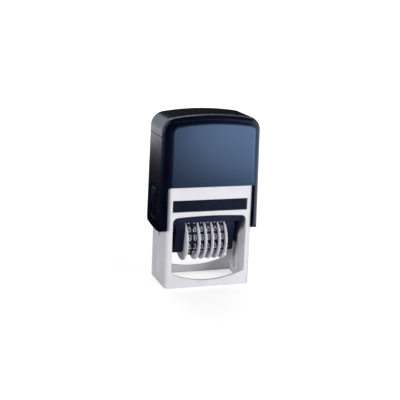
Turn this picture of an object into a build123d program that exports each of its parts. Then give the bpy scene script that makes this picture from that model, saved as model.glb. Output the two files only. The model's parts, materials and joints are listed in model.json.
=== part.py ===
from build123d import *
from math import acos, atan2, cos, degrees, hypot, pi, sin
import os

# Self-inking numbering stamp: a text plate with a six-figure number in its middle.
# Millimetres. +Z is up, -Y is the front, and the origin is the middle of the base's underside.
# Pressing the cap turns the die unit half a turn, from the ink pad above it to the paper below.

# ---- driving dimensions ------------------------------------------------------------------

# text plate and the carrier that holds it
plate_length = 45.0
plate_width = 24.0
plate_base = 1.3
type_relief = 1.0
border_width = 0.8
carrier_end = 1.5
carrier_side = 1.0
carrier_deck = 2.0
deck_above_pivot = 5.55
skirt_depth = 5.8
skirt_wall = 1.5
cheek_wall = 1.8
cheek_reach = 16.85
cheek_foot_half = 4.6
cheek_foot_height = 3.4
cheek_shoulder_drop = 1.65

# stroke and the turning gear
stroke = 35.0
trunnion_radius = 1.5
follower_radius = 0.8
follower_offset = 3.6
running_gap = 0.05
track_gap = 0.12

# how far a joined form reaches into its carrier, and a cut runs past its surface
bite = 0.5
past = 1.0

# number unit
wheel_count = 6
wheel_pitch = 4.65
wheel_gap = 0.25
wheel_radius = 14.3
wheel_drop = 14.25
wheel_teeth = 30
tooth_depth = 0.45
flange_thickness = 0.8
hub_radius = 9.3
axle_radius = 1.5
band_gap = 0.1
band_thickness = 1.0
band_side_gap = 0.12
figure_pitch = 5.5
figure_length = 4.0
figure_plinth = 0.4
figure_relief = 0.5
anvil_half_width = 2.6
anvil_corner = 1.0
anvil_depth = 5.5
peg_radius = 0.8

# bracket that carries the wheels
leg_gap = 0.55
leg_web = 1.5
leg_end_gap = 1.8
leg_flange = 1.2
leg_half_depth = 9.0
leg_foot_half = 6.0
leg_below_axle = 8.2
bracket_roof = 1.4
seat_gap = 0.05
axle_head_radius = 2.4
axle_head_thickness = 0.9

# base frame
rail_gap = 0.4
rail_skin = 0.8
rail_border = 1.0
rail_floor = 0.8
rail_foot = 2.0
arm_gap = 0.3
arm_thickness = 1.6
arm_half_width = 4.4
channel_wall = 1.6
base_wall = 2.0
flip_room = 1.8
base_corner = 2.8
slot_side_wall = 3.6
window_side_wall = 4.0
window_corner = 3.5
window_arch = 1.0
window_sill = 4.4
sill_rise = 5.35
head_band = 2.8
ledge_height = 1.5
ledge_gap = 0.4
deck_thickness = 1.6
base_collar = 10.0
cup_wall = 0.7
cup_height = 5.0
outer_groove_half = 3.0
outer_groove_depth = 0.6
outer_groove_foot = 34.5
outer_groove_point = 2.0

# ink tray and pad
pad_gap = 0.35
tray_height = 7.45
tray_lip = 0.1
tray_slot_gap = 0.15
tray_end_gap = 0.2
tray_wall = 1.2
tray_roof = 2.4
tray_face_setback = 0.9
tray_arm_gap = 0.9
rib_count = 30
rib_width = 0.65
rib_depth = 0.5
rib_border = 0.7
pad_side_gap = 0.2

# cap
side_space = 2.7
cap_side_wall = 2.0
front_space = 0.9
cap_front_wall = 1.5
cap_top_wall = 2.0
cap_headroom = 5.9
cap_lap = 3.1
leg_drop = 31.4
toe_width = 1.8
toe_height = 10.6
toe_gap = 1.1
toe_pad_height = 4.0
foot_rise = 4.0
side_draft = 1.0
front_draft = 0.6
top_arch_radius = 172.0
top_corner = 9.5
edge_round = 6.5
cavity_bevel = 1.6
cutout_gap = 0.4
cutout_corner = 1.5
cover_half_width = 14.2
cover_thickness = 1.1
cover_foot_above_lap = 31.5
cover_seam = 0.3

# lock buttons
button_half_width = 4.5
button_foot = 9.05
button_height = 19.35
button_groove = 1.8
button_foot_gap = 0.2
button_thickness = 2.0
button_crown = 0.4
button_pin_radius = 0.7
button_pin_inset = 0.9
button_pin_rise = 1.85
button_pin_reach = 1.7
ear_gap = 0.4
ear_thickness = 1.6
ear_half = 1.35
ear_depth = 2.0

# yoke and springs
yoke_bar = 2.6
yoke_headroom = 3.5
yoke_gusset = 2.0
yoke_gusset_height = 4.0
yoke_peg_radius = 2.0
yoke_peg_spacing = 18.0
spring_from_arm = 7.5
spring_radius = 3.5
spring_wire = 0.4
spring_turns = 7
spring_sides = 8
wire_sides = 6
spring_post_radius = 2.4
spring_post_length = 6.0

# ---- places worked out from them ---------------------------------------------------------

carrier_half_length = plate_length / 2 + carrier_end
carrier_half_depth = plate_width / 2 + carrier_side
rail_face = carrier_half_length + rail_gap
channel_inside = rail_face + rail_skin
arm_inside = channel_inside + arm_gap
arm_outside = arm_inside + arm_thickness
channel_outside = arm_outside + arm_gap
channel_half = arm_half_width + arm_gap
rail_half = channel_half + rail_border
base_half_width = channel_outside + channel_wall
base_half_depth = carrier_half_depth + flip_room + base_wall
inner_half_depth = base_half_depth - base_wall

face_above_pivot = deck_above_pivot + plate_base + type_relief
pivot_z = stroke + face_above_pivot
deck_top = pivot_z + deck_above_pivot
face_z = pivot_z + face_above_pivot
axle_z = pivot_z - wheel_drop
pad_z = face_z + pad_gap
tray_z = pad_z - tray_lip
slot_foot = tray_z - tray_slot_gap
tray_top = tray_z + tray_height
slot_head = tray_top + tray_end_gap
window_head = slot_foot - head_band
slot_half = base_half_width - slot_side_wall
window_half = base_half_width - window_side_wall
bridge_z = slot_head + arm_gap
bridge_top = bridge_z + deck_thickness
base_height = bridge_top + base_collar
rail_head = window_head + seat_gap

cap_half_width = base_half_width + side_space + cap_side_wall
cap_half_depth = base_half_depth + front_space + cap_front_wall
lap_z = base_height - cap_lap
leg_z = lap_z - leg_drop
cap_ceiling = base_height + stroke + cap_headroom
cap_top = cap_ceiling + cap_top_wall
cover_foot = lap_z + cover_foot_above_lap
yoke_top = cap_ceiling - yoke_headroom
yoke_underside = yoke_top - yoke_bar
spring_x = arm_inside - spring_from_arm

band_cell = wheel_pitch - wheel_gap - flange_thickness
group_start = -wheel_count * wheel_pitch / 2
leg_inside = -group_start + leg_gap
leg_outside = carrier_half_length - cheek_wall - leg_end_gap
anvil_top = face_z - figure_relief - figure_plinth - band_thickness - band_gap
hole_half_length = leg_inside
slot_in_plate = anvil_half_width + band_gap + band_thickness + figure_plinth + figure_relief + arm_gap


# ---- helpers -----------------------------------------------------------------------------

def block(x_low, x_high, y_low, y_high, z_low, z_high):
    """Box between two corners."""
    middle = Pos((x_low + x_high) / 2, (y_low + y_high) / 2, (z_low + z_high) / 2)
    return middle * Box(x_high - x_low, y_high - y_low, z_high - z_low)


def slab(half_x, half_y, z_low, z_high):
    """Box centred on the upright axis."""
    return block(-half_x, half_x, -half_y, half_y, z_low, z_high)


def post(radius, x, y, z_low, z_high):
    """Upright cylinder."""
    return Pos(x, y, (z_low + z_high) / 2) * Cylinder(radius, z_high - z_low)


def rod_x(radius, x_low, x_high, y, z):
    """Cylinder along X."""
    return Pos((x_low + x_high) / 2, y, z) * Rot(0, 90, 0) * Cylinder(radius, x_high - x_low)


def rod_y(radius, y_low, y_high, x, z):
    """Cylinder along Y."""
    return Pos(x, (y_low + y_high) / 2, z) * Rot(90, 0, 0) * Cylinder(radius, y_high - y_low)


def mirrored_x(shape):
    """The same piece on the other side of the machine."""
    return mirror(shape, about=Plane.YZ)


def both_sides(shape):
    """A feature and its mirror image, left and right."""
    return shape + mirrored_x(shape)


def both_faces(shape):
    """A feature and its mirror image, front and back."""
    return shape + mirror(shape, about=Plane.XZ)


def across(face, half_depth):
    """Prism of a front-view outline, X and Z, through the machine from front to back."""
    return extrude(Plane.XZ * face, half_depth, both=True)


def sideways(face, x_low, x_high):
    """Prism of a side-view outline, Y and Z, between two places along X."""
    return extrude(Plane.YZ.offset(x_low) * face, x_high - x_low)


def rounded_slab(half_x, half_y, corner, z_low, z_high):
    """Upright prism of a rounded rectangle."""
    outline = RectangleRounded(2 * half_x, 2 * half_y, corner)
    return extrude(Pos(0, 0, z_low) * outline, z_high - z_low)


# ---- base --------------------------------------------------------------------------------

def window_outline():
    """Front-view outline of the window: arched head, straight sides, hollow sill."""
    side_head = window_head - window_arch
    side_foot = window_sill + sill_rise
    head = ThreePointArc((window_half, side_head), (0, window_head), (-window_half, side_head))
    sill = ThreePointArc((-window_half, side_foot), (0, window_sill), (window_half, side_foot))
    left = Line((-window_half, side_head), (-window_half, side_foot))
    right = Line((window_half, side_foot), (window_half, side_head))
    outline = make_face([head, left, sill, right])
    upper_corners = outline.vertices().sort_by(Axis.Y)[-2:]
    return fillet(upper_corners, window_corner)


def track_point(turn, shift=0.0):
    """Follower's place in side view after a part of the turn, moved sideways by shift."""
    travel = stroke / pi
    y = -follower_offset * cos(turn)
    z = pivot_z - travel * turn - follower_offset * sin(turn)
    slope_y = follower_offset * sin(turn)
    slope_z = -travel - follower_offset * cos(turn)
    length = hypot(slope_y, slope_z)
    return (y - shift * slope_z / length, z + shift * slope_y / length)


def track_outline():
    """Side-view outline of the curved groove that makes the die unit turn over."""
    half = follower_radius + track_gap
    steps = 12
    turns = [pi * step / steps for step in range(steps + 1)]
    one_side = Spline([track_point(turn, half) for turn in turns])
    other_side = Spline([track_point(turn, -half) for turn in turns])
    start_y, start_z = track_point(0)
    end_y, end_z = track_point(pi)
    top = ThreePointArc(track_point(0, half), (start_y, start_z + half), track_point(0, -half))
    foot = ThreePointArc(track_point(pi, half), (end_y, end_z - half), track_point(pi, -half))
    return make_face([one_side, other_side, top, foot])


def trunnion_slot_outline():
    """Side-view outline of the straight slot that the die unit's trunnion slides in."""
    width = 2 * (trunnion_radius + track_gap)
    return Pos(0, pivot_z - stroke / 2) * SlotCenterToCenter(stroke, width, rotation=90)


def outer_groove_outline():
    """Side-view outline of the shallow pointed groove on the base's outside."""
    half = outer_groove_half
    shoulder = outer_groove_foot + outer_groove_point
    head = base_height + past
    corners = [(0, outer_groove_foot), (half, shoulder), (half, head), (-half, head), (-half, shoulder)]
    return make_face(Polyline(corners, close=True))


def make_base_frame():
    """Grey moulding: four walls, window, tray slot, ledges, spring deck and side channels."""
    frame = rounded_slab(base_half_width, base_half_depth, base_corner, 0, base_height)
    frame -= slab(base_half_width - base_wall, inner_half_depth, -past, base_height + past)
    frame -= across(window_outline(), base_half_depth + past)
    frame -= slab(slot_half, base_half_depth + past, slot_foot, slot_head)
    reach = rail_face + arm_gap
    ledge_y = carrier_half_depth + ledge_gap
    ledge_z = slot_foot - ledge_height
    frame += both_faces(block(-reach, reach, ledge_y, inner_half_depth + bite, ledge_z, slot_foot))
    deck_half = base_half_width - base_wall + bite
    frame += slab(deck_half, inner_half_depth + bite, bridge_z, bridge_top)
    rail = block(rail_face, channel_outside, -rail_half, rail_half, rail_foot, rail_head)
    frame += both_sides(rail)
    channel_foot = rail_foot + rail_floor
    channel = block(channel_inside, channel_outside, -channel_half, channel_half,
                    channel_foot, base_height + past)
    frame -= both_sides(channel)
    skin = (rail_face - bite, channel_inside + bite)
    frame -= both_sides(sideways(trunnion_slot_outline(), *skin))
    frame -= both_sides(sideways(track_outline(), *skin))
    groove_floor = base_half_width - outer_groove_depth
    frame -= both_sides(sideways(outer_groove_outline(), groove_floor, base_half_width + past))
    for side in (-1, 1):
        x = side * spring_x
        bore = spring_radius + spring_wire + arm_gap
        frame += post(bore + cup_wall, x, 0, bridge_top - bite, bridge_top + cup_height)
        frame -= post(bore, x, 0, bridge_top, bridge_top + cup_height + past)
    return frame


def make_ink_tray():
    """Dark cartridge that slides through the slot, with upright ribs on both its edges."""
    body_half = arm_inside - tray_arm_gap
    face_half = slot_half - tray_end_gap
    face_y = base_half_depth - tray_face_setback
    tray = slab(body_half, inner_half_depth, tray_z, tray_top)
    tray += both_faces(block(-face_half, face_half, inner_half_depth, face_y, tray_z, tray_top))
    tray -= slab(body_half - tray_wall, inner_half_depth - tray_wall, tray_z - past, tray_top - tray_roof)
    rib_pitch = (2 * face_half - 2 * rib_border) / rib_count
    rib_low = tray_z + rib_border
    rib_high = tray_top - rib_border
    for index in range(rib_count):
        x = -face_half + rib_border + rib_pitch * (index + 0.5)
        tray += both_faces(block(x - rib_width / 2, x + rib_width / 2, face_y, face_y + rib_depth,
                                 rib_low, rib_high))
    return tray


def make_ink_pad():
    """Felt pad in the tray, facing down at the type."""
    half_x = arm_inside - tray_arm_gap - tray_wall - pad_side_gap
    half_y = inner_half_depth - tray_wall - pad_side_gap
    return slab(half_x, half_y, pad_z, tray_top - tray_roof - seat_gap)


# ---- cap ---------------------------------------------------------------------------------

def cap_block(side_inset, face_inset, top_inset, foot, bevel=0.0):
    """Drafted, arched block of the cap's shape, smaller by the insets; rims rounded or cut."""
    height = cap_top - leg_z
    top_half = cap_half_width - side_draft - side_inset
    foot_half = cap_half_width - side_inset + side_draft * (leg_z - foot) / height
    crown = cap_top - top_inset
    radius = top_arch_radius - top_inset
    shoulder = crown - radius + (radius ** 2 - top_half ** 2) ** 0.5
    arch = ThreePointArc((top_half, shoulder), (0, crown), (-top_half, shoulder))
    left = Line((-top_half, shoulder), (-foot_half, foot))
    floor = Line((-foot_half, foot), (foot_half, foot))
    right = Line((foot_half, foot), (top_half, shoulder))
    front_view = make_face([arch, left, floor, right])
    corners = front_view.vertices().sort_by(Axis.Y)[-2:]
    front_view = fillet(corners, top_corner - top_inset)
    body = across(front_view, cap_half_depth + past)
    foot_depth = cap_half_depth - face_inset + front_draft * (leg_z - foot) / height
    top_depth = cap_half_depth - face_inset - front_draft
    side_points = [(-foot_depth, foot), (foot_depth, foot), (top_depth, cap_top)]
    side_points.append((-top_depth, cap_top))
    side_view = make_face(Polyline(side_points, close=True))
    body &= sideways(side_view, -cap_half_width - past, cap_half_width + past)
    rims = [body.faces().sort_by(Axis.Y)[end].edges() for end in (0, -1)]
    uprights = [edge for rim in rims for edge in rim if edge.bounding_box().max.Z > foot + past]
    if bevel:
        return chamfer(uprights, bevel)
    return fillet(uprights, edge_round - face_inset)


def button_outline(grow_sides, grow_foot, thickness, crown):
    """Button body: a slice of the cap's side wall with a slightly crowned outside."""
    foot = leg_z + button_foot
    head = foot + button_height
    slope = side_draft / (cap_top - leg_z)
    outer_foot = cap_half_width - slope * (foot - leg_z)
    outer_head = cap_half_width - slope * (head - leg_z)
    middle = ((outer_foot + outer_head) / 2 + crown, (foot + head) / 2)
    face = ThreePointArc((outer_foot, foot - grow_foot), middle, (outer_head, head + grow_sides))
    top = Line((outer_head, head + grow_sides), (outer_head - thickness, head + grow_sides))
    back = Line((outer_head - thickness, head + grow_sides),
                (outer_foot - thickness, foot - grow_foot))
    bottom = Line((outer_foot - thickness, foot - grow_foot), (outer_foot, foot - grow_foot))
    return across(make_face([face, top, back, bottom]), button_half_width + grow_sides)


def button_pin_place():
    """Where the button's trunnion runs, X and Z, inside the cap's right side wall."""
    z = leg_z + button_foot + button_pin_rise
    slope = side_draft / (cap_top - leg_z)
    wall_inside = cap_half_width - cap_side_wall - slope * (z - leg_z)
    return wall_inside - button_pin_inset, z


def toe_cut_outline():
    """Front-view outline of what is cut from a leg's outer foot, so that its toe turns in."""
    height = cap_top - leg_z
    draft = side_draft * toe_height / height
    head = (cap_half_width - draft, leg_z + toe_height)
    toe = (cap_half_width - toe_width, leg_z)
    bend = TangentArc(head, toe, tangent=(draft, -toe_height))
    beyond = cap_half_width + past
    rest = Polyline([toe, (toe[0], leg_z - past), (beyond, leg_z - past), (beyond, head[1]), head])
    return make_face([bend, rest])


def foot_cut_outline():
    """Side-view outline of what is cut from under the legs, so that each foot is a shallow arc."""
    half = cap_half_depth + past
    low = leg_z - past
    bend = ThreePointArc((-half, leg_z + foot_rise), (0, leg_z), (half, leg_z + foot_rise))
    rest = Polyline([(half, leg_z + foot_rise), (half, low), (-half, low), (-half, leg_z + foot_rise)])
    return make_face([bend, rest])


def make_cap_shell():
    """Navy cover: arched hood with two long legs, hollow, open at the front and back foot."""
    shell = cap_block(0, 0, 0, leg_z)
    shell -= cap_block(cap_side_wall, cap_front_wall, cap_top_wall, leg_z - past, cavity_bevel)
    cutout_half = base_half_width + cutout_gap
    cutout_height = lap_z - leg_z + past
    cutout = Pos(0, lap_z - cutout_height / 2) * Rectangle(2 * cutout_half, cutout_height)
    cutout = fillet(cutout.vertices().sort_by(Axis.Y)[-2:], cutout_corner)
    shell -= across(cutout, cap_half_depth + past)
    pad_inside = base_half_width + toe_gap
    pad_outside = cap_half_width - toe_width
    pad_half = cap_half_depth - cap_front_wall + bite
    shell += both_sides(block(pad_inside, pad_outside, -pad_half, pad_half,
                              leg_z, leg_z + toe_pad_height))
    shell -= both_sides(across(toe_cut_outline(), cap_half_depth + past))
    shell -= sideways(foot_cut_outline(), -cap_half_width - past, cap_half_width + past)
    recess_foot = cover_foot - cover_seam
    recess_half = cover_half_width + cover_seam
    recess = slab(cap_half_width + past, recess_half, recess_foot, cap_top + past)
    depth = cover_thickness + seat_gap
    shell -= recess - cap_block(depth, depth, depth, leg_z)
    for side in (-1, 1):
        x = side * yoke_peg_spacing / 2
        shell += post(yoke_peg_radius, x, 0, yoke_underside + seat_gap, cap_ceiling + bite)
    opening = button_outline(button_groove, button_foot_gap, cap_side_wall + past, past)
    shell -= both_sides(opening)
    pin_x, pin_z = button_pin_place()
    ear_low = button_half_width + ear_gap
    ear = block(pin_x - ear_half, pin_x + ear_depth, ear_low + button_groove,
                ear_low + button_groove + ear_thickness, pin_z - ear_half, pin_z + ear_half)
    ears = both_faces(ear)
    ears -= rod_y(button_pin_radius + running_gap, -cap_half_depth, cap_half_depth, pin_x, pin_z)
    shell += both_sides(ears)
    return shell


def make_top_cover():
    """Saddle plate that lies flush in the cap's arched top and hooks over its sides."""
    band = slab(cap_half_width + past, cover_half_width, cover_foot, cap_top + past)
    outside = cap_block(0, 0, 0, leg_z) & band
    return outside - cap_block(cover_thickness, cover_thickness, cover_thickness, leg_z)


def make_right_button():
    """Push tongue in the right leg, with a trunnion near its foot."""
    button = button_outline(0, 0, button_thickness, button_crown)
    pin_x, pin_z = button_pin_place()
    half = button_half_width
    knuckle = block(pin_x, pin_x + button_pin_inset + bite, -half, half,
                    pin_z - button_pin_radius, pin_z + button_pin_radius)
    button += knuckle
    reach = half + ear_gap + button_groove + button_pin_reach
    button += rod_y(button_pin_radius, -reach, reach, pin_x, pin_z)
    return button


def make_drive_yoke():
    """Inverted U that hangs in the cap and carries the die unit between its arms."""
    yoke = slab(arm_outside, arm_half_width, yoke_underside, yoke_top)
    arm = block(arm_inside, arm_outside, -arm_half_width, arm_half_width, pivot_z, yoke_top)
    arm += rod_x(arm_half_width, arm_inside, arm_outside, 0, pivot_z)
    arm -= rod_x(trunnion_radius + running_gap, arm_inside - past, arm_outside + past, 0, pivot_z)
    rib_foot = yoke_underside - yoke_gusset_height
    gusset = make_face(Polyline([(arm_inside, yoke_underside), (arm_inside, rib_foot),
                                 (arm_inside - yoke_gusset, yoke_underside)], close=True))
    arm += across(gusset, arm_half_width / 2)
    yoke += both_sides(arm)
    for side in (-1, 1):
        x = side * spring_x
        low = yoke_underside - spring_post_length
        yoke += post(spring_post_radius, x, 0, low, yoke_underside + bite)
        x = side * yoke_peg_spacing / 2
        yoke -= post(yoke_peg_radius + running_gap, x, 0, yoke_underside - past, yoke_top + past)
    return yoke


def make_return_spring(x):
    """Coil spring between the base's cup and the yoke; each turn is short straight lengths."""
    low = bridge_top + spring_wire + seat_gap
    high = yoke_underside - spring_wire - seat_gap
    count = spring_turns * spring_sides
    points = []
    for index in range(count + 1):
        angle = 2 * pi * index / spring_sides
        height = low + (high - low) * index / count
        points.append((spring_radius * cos(angle), spring_radius * sin(angle), height))
    path = Polyline(points)
    section = Plane(path @ 0, z_dir=path % 0) * RegularPolygon(spring_wire, wire_sides)
    return Pos(x, 0, 0) * sweep(section, path, transition=Transition.RIGHT)


# ---- die unit ----------------------------------------------------------------------------

def cheek_outline():
    """Side-view outline of the carrier's end cheek: wide at the deck, narrow at its foot."""
    foot = pivot_z - cheek_reach
    knee = foot + cheek_foot_height
    shoulder = pivot_z - cheek_shoulder_drop
    half = carrier_half_depth
    under = deck_top - carrier_deck / 2
    right = [(cheek_foot_half, foot), (cheek_foot_half, knee), (half, shoulder), (half, under)]
    left = [(-y, z) for y, z in reversed(right)]
    return make_face(Polyline(right + left, close=True))


def make_die_carrier():
    """Navy deck with a skirt and end cheeks, trunnions, and followers for the track."""
    carrier = slab(carrier_half_length, carrier_half_depth, deck_top - skirt_depth, deck_top)
    carrier -= slab(carrier_half_length - cheek_wall, carrier_half_depth - skirt_wall,
                    deck_top - skirt_depth - past, deck_top - carrier_deck)
    carrier -= slab(hole_half_length, slot_in_plate + skirt_wall, deck_top - skirt_depth, deck_top + past)
    cheek_inside = carrier_half_length - cheek_wall
    end = sideways(cheek_outline(), cheek_inside, carrier_half_length)
    end += rod_x(trunnion_radius, cheek_inside, arm_outside, 0, pivot_z)
    follower_y, follower_z = track_point(0)
    end += rod_x(follower_radius, cheek_inside, channel_inside, follower_y, follower_z)
    carrier += both_sides(end)
    return carrier


def make_text_plate():
    """Rubber plate with a raised border and rules, open in the middle for the number."""
    base_z = deck_top + seat_gap
    half_x = plate_length / 2
    half_y = plate_width / 2
    top_of_base = deck_top + plate_base
    plate = slab(half_x, half_y, base_z, top_of_base)
    inset = border_width
    border = slab(half_x - inset, half_y - inset, base_z, face_z)
    border -= slab(half_x - 2 * inset, half_y - 2 * inset, base_z - past, face_z + past)
    plate += border
    rule_y = (half_y + slot_in_plate) / 2
    rule_half = half_x - 4 * inset
    plate += both_faces(block(-rule_half, rule_half, rule_y - inset / 2, rule_y + inset / 2,
                              base_z, face_z))
    plate -= slab(hole_half_length, slot_in_plate, base_z - past, face_z + past)
    return plate


def leg_outline(inset):
    """Side-view outline of one leg of the wheel bracket, tapering to a round foot."""
    roof = deck_top - carrier_deck - seat_gap
    foot = axle_z - leg_below_axle + inset
    high = leg_half_depth - inset
    low = leg_foot_half - inset
    corners = [(low, foot), (high, axle_z + leg_half_depth), (high, roof)]
    corners += [(-high, roof), (-high, axle_z + leg_half_depth), (-low, foot)]
    outline = make_face(Polyline(corners, close=True))
    return fillet(outline.vertices().sort_by(Axis.Y)[:2], leg_foot_half / 2 - inset)


def make_numbering_frame():
    """Navy bracket under the deck; its two channel legs carry the wheel axle."""
    roof = deck_top - carrier_deck - seat_gap
    bracket = slab(leg_outside, leg_half_depth, roof - bracket_roof, roof)
    bracket -= slab(leg_inside, slot_in_plate + skirt_wall, roof - bracket_roof - past, roof + past)
    leg = sideways(leg_outline(0), leg_inside, leg_outside)
    leg -= sideways(leg_outline(leg_flange), leg_inside + leg_web, leg_outside + past)
    leg += block(leg_inside, leg_outside, -leg_half_depth, leg_half_depth,
                 roof - bracket_roof, roof)
    bracket += both_sides(leg)
    bracket -= rod_x(axle_radius + running_gap, -leg_outside, leg_outside, 0, axle_z)
    peg_z = anvil_top - anvil_depth + anvil_corner
    peg_end = leg_inside + leg_web + seat_gap
    bracket -= rod_x(peg_radius + running_gap, -peg_end, peg_end, 0, peg_z)
    return bracket


def make_print_anvil():
    """Bar that backs the bands where they print, pegged between the bracket's legs."""
    half = leg_inside - seat_gap
    outline = Pos(0, anvil_top - anvil_depth / 2) * Rectangle(2 * anvil_half_width, anvil_depth)
    outline = fillet(outline.vertices().sort_by(Axis.Y)[-2:], anvil_corner)
    bar = sideways(outline, -half, half)
    peg_z = anvil_top - anvil_depth + anvil_corner
    bar += rod_x(peg_radius, -half - leg_web, half + leg_web, 0, peg_z)
    return bar


def make_wheel_axle():
    """Pin through the six wheels, with a head at each end inside the legs."""
    head_start = leg_inside + leg_web + seat_gap
    head_end = head_start + axle_head_thickness
    axle = rod_x(axle_radius, -head_end, head_end, 0, axle_z)
    axle += both_sides(rod_x(axle_head_radius, head_start, head_end, 0, axle_z))
    return axle


def band_run(grow):
    """Sizes of the band's path, grown outwards: corner place and radius, hub radius, angle."""
    corner_y = anvil_half_width - anvil_corner
    corner_z = anvil_top - anvil_corner
    corner_radius = anvil_corner + grow
    hub = hub_radius + grow
    drop = corner_z - axle_z
    centres = hypot(corner_y, drop)
    lean = atan2(-drop, -corner_y) + acos((corner_radius - hub) / centres)
    return corner_y, corner_z, corner_radius, hub, centres, lean


def band_outline(grow):
    """Side-view outline of the band's loop: flat top, two corners, two straights, hub arc."""
    corner_y, corner_z, corner_radius, hub, _, lean = band_run(grow)

    def on_corner(angle):
        return (corner_y + corner_radius * cos(angle), corner_z + corner_radius * sin(angle))

    def on_hub(angle):
        return (hub * cos(angle), axle_z + hub * sin(angle))

    half_way = (pi / 2 + lean) / 2
    bend = ThreePointArc(on_corner(pi / 2), on_corner(half_way), on_corner(lean))
    run = Line(on_corner(lean), on_hub(lean))
    other_bend = mirror(bend, about=Plane.YZ)
    other_run = mirror(run, about=Plane.YZ)
    top = Line(on_corner(pi / 2), (-corner_y, corner_z + corner_radius))
    left_y, left_z = on_hub(lean)
    under = ThreePointArc(on_hub(lean), on_hub(-pi / 2), (-left_y, left_z))
    return make_face([bend, run, other_bend, other_run, top, under])


def band_place(distance):
    """Point on the band's outside and the outward angle, at a distance from its top middle."""
    corner_y, corner_z, corner_radius, hub, centres, lean = band_run(band_gap + band_thickness)
    side = 1 if distance >= 0 else -1
    left = abs(distance)
    corner_arc = corner_radius * (pi / 2 - lean)
    straight = (centres ** 2 - (hub - corner_radius) ** 2) ** 0.5
    if left < corner_y:
        y, z, angle = left, corner_z + corner_radius, pi / 2
    elif left < corner_y + corner_arc:
        angle = pi / 2 - (left - corner_y) / corner_radius
        y = corner_y + corner_radius * cos(angle)
        z = corner_z + corner_radius * sin(angle)
    elif left < corner_y + corner_arc + straight:
        angle = lean
        along = left - corner_y - corner_arc
        y = corner_y + corner_radius * cos(lean) + along * sin(lean)
        z = corner_z + corner_radius * sin(lean) - along * cos(lean)
    else:
        angle = lean - (left - corner_y - corner_arc - straight) / hub
        y = hub * cos(angle)
        z = axle_z + hub * sin(angle)
    if side < 0:
        y, angle = -y, pi - angle
    return y, z, angle


def band_half_length():
    """Half of the band's outside length, from its top middle to the bottom of the hub."""
    corner_y, _, corner_radius, hub, centres, lean = band_run(band_gap + band_thickness)
    straight = (centres ** 2 - (hub - corner_radius) ** 2) ** 0.5
    return corner_y + corner_radius * (pi / 2 - lean) + straight + hub * (lean + pi / 2)


def make_number_band(x_low, x_high):
    """Rubber loop over anvil and hub, with a low block for each figure."""
    outside = sideways(band_outline(band_gap + band_thickness), x_low, x_high)
    band = outside - sideways(band_outline(band_gap), x_low - past, x_high + past)
    count = int(2 * band_half_length() / figure_pitch)
    pitch = 2 * band_half_length() / count
    middle = (x_low + x_high) / 2
    height = figure_plinth + band_thickness / 2
    for index in range(count):
        distance = index * pitch
        if distance > band_half_length():
            distance -= 2 * band_half_length()
        y, z, angle = band_place(distance)
        lift = figure_plinth - height / 2
        place = Pos(middle, y + lift * cos(angle), z + lift * sin(angle))
        band += place * Rot(degrees(angle) - 90, 0, 0) * Box(x_high - x_low, figure_length, height)
    return band


def tooth_outline():
    """Rim of a setting wheel: a circle with V-shaped notches, seen along the axle."""
    step = 2 * pi / wheel_teeth
    tip = step / 4
    points = []
    for index in range(wheel_teeth):
        angle = index * step
        for offset, radius in ((-tip, wheel_radius), (tip, wheel_radius),
                               (step / 2, wheel_radius - tooth_depth)):
            turn = angle + offset
            points.append((radius * cos(turn), axle_z + radius * sin(turn)))
    return make_face(Polyline(points, close=True))


def make_setting_wheel(cell_start, flange_on_left):
    """Toothed flange with a hub that turns one number band."""
    cell_end = cell_start + wheel_pitch - wheel_gap
    if flange_on_left:
        flange_start = cell_start
    else:
        flange_start = cell_end - flange_thickness
    wheel = sideways(tooth_outline(), flange_start, flange_start + flange_thickness)
    wheel += rod_x(hub_radius, cell_start, cell_end, 0, axle_z)
    wheel -= rod_x(axle_radius + running_gap, cell_start - past, cell_end + past, 0, axle_z)
    return wheel


def wheel_cell(index):
    """Start of one wheel's space along the axle; the first wheel is turned about."""
    return group_start + wheel_gap / 2 + index * wheel_pitch


def band_span(index):
    """Where a band lies along X, beside its wheel's flange."""
    start = wheel_cell(index)
    if index == 0:
        start += flange_thickness
    return start + band_side_gap, start + band_cell - band_side_gap


# ---- write one file for each piece -------------------------------------------------------

pieces = {
    "base_frame": make_base_frame(),
    "ink_tray": make_ink_tray(),
    "ink_pad": make_ink_pad(),
    "cap_shell": make_cap_shell(),
    "top_cover": make_top_cover(),
    "drive_yoke": make_drive_yoke(),
    "return_spring_left": make_return_spring(-spring_x),
    "return_spring_right": make_return_spring(spring_x),
    "lock_button_left": mirrored_x(make_right_button()),
    "lock_button_right": make_right_button(),
    "die_carrier": make_die_carrier(),
    "text_plate": make_text_plate(),
    "numbering_frame": make_numbering_frame(),
    "print_anvil": make_print_anvil(),
    "wheel_axle": make_wheel_axle(),
}
for number in range(wheel_count):
    pieces[f"setting_wheel_{number + 1}"] = make_setting_wheel(wheel_cell(number), number == 0)
    pieces[f"number_band_{number + 1}"] = make_number_band(*band_span(number))

os.makedirs("parts", exist_ok=True)
for name, piece in pieces.items():
    export_step(piece, f"parts/{name}.step")
print(len(pieces), "pieces; pivot height", pivot_z, "axle height", axle_z, "cap top", cap_top)
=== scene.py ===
import json
from math import radians

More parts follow.
